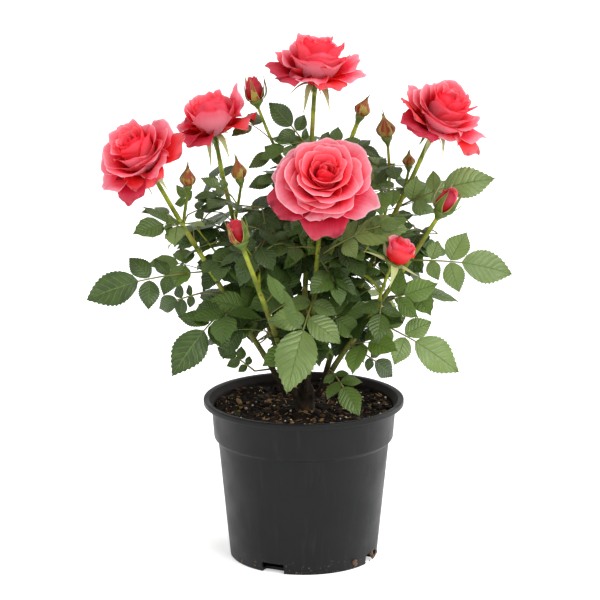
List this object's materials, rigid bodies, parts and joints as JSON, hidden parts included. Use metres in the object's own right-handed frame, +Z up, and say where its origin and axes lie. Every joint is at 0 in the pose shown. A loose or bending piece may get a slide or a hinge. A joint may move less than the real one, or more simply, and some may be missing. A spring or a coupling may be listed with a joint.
{
  "type": "potted patio rose bush",
  "caption": "Patio rose bush with open double blooms, pointed buds and serrated leaves on upright green canes, in a round tapered nursery pot.",
  "frame": {"origin": "centre of the pot's flat underside, on the surface it stands on", "axes": "+Z up out of the pot, +X to the right and -Y towards the viewer of the front, which the lowest large bloom faces"},
  "size_m": [0.3565, 0.2394, 0.4431],
  "materials": {
    "pot": "matt charcoal blow-moulded plastic with a fine grain",
    "soil": "moist dark brown bark compost with lighter chips and a few grains of perlite",
    "bark": "grey-brown ridged bark",
    "stems": "smooth yellow-green young cane, browner low down, with small reddish prickles",
    "leaves": "semi-matt mid green leaf with paler veins and underside",
    "petals": "velvety coral pink petals, red at the heart and paler at the rims"
  },
  "bodies": {
    "root": {"pot": "pot", "soil": "soil", "rootstock": "bark", "cane_back": "stems", "cane_centre": "stems", "cane_front": "stems", "cane_front_left": "stems", "cane_left": "stems", "cane_right": "stems", "cane_right_low": "stems", "cane_upper_left": "stems", "stalk_left_small": "stems", "stalk_right_open": "stems", "stalk_right_small": "stems", "stalk_top_left": "stems", "stalk_top_right": "stems", "stalk_upper_left": "stems", "bloom_front": "petals", "bloom_left": "petals", "bloom_right": "petals", "bloom_top": "petals", "bloom_upper_left": "petals", "foliage_core_heart": "leaves", "foliage_low_back": "leaves", "foliage_low_front": "leaves", "foliage_low_left": "leaves", "foliage_low_right": "leaves", "foliage_middle_back_left": "leaves", "foliage_middle_back_right": "leaves", "foliage_middle_front_left": "leaves", "foliage_middle_front_right": "leaves", "foliage_middle_left": "leaves", "foliage_middle_right": "leaves", "foliage_upper_back": "leaves", "foliage_upper_front": "leaves", "foliage_upper_left": "leaves", "foliage_upper_right": "leaves", "spray_back": "leaves", "spray_back_high": "leaves", "spray_back_left": "leaves", "spray_back_left_low": "leaves", "spray_back_right": "leaves", "spray_back_right_low": "leaves", "spray_bottom_front": "leaves", "spray_bottom_left": "leaves", "spray_bottom_right": "leaves", "spray_front": "leaves", "spray_front_low": "leaves", "spray_front_right": "leaves", "spray_left_high": "leaves", "spray_left_long": "leaves", "spray_left_low": "leaves", "spray_left_narrow": "leaves", "spray_right_high": "leaves", "spray_right_long": "leaves", "spray_right_low": "leaves", "spray_top_left": "leaves", "spray_top_right": "leaves"}
  },
  "joints": []
}
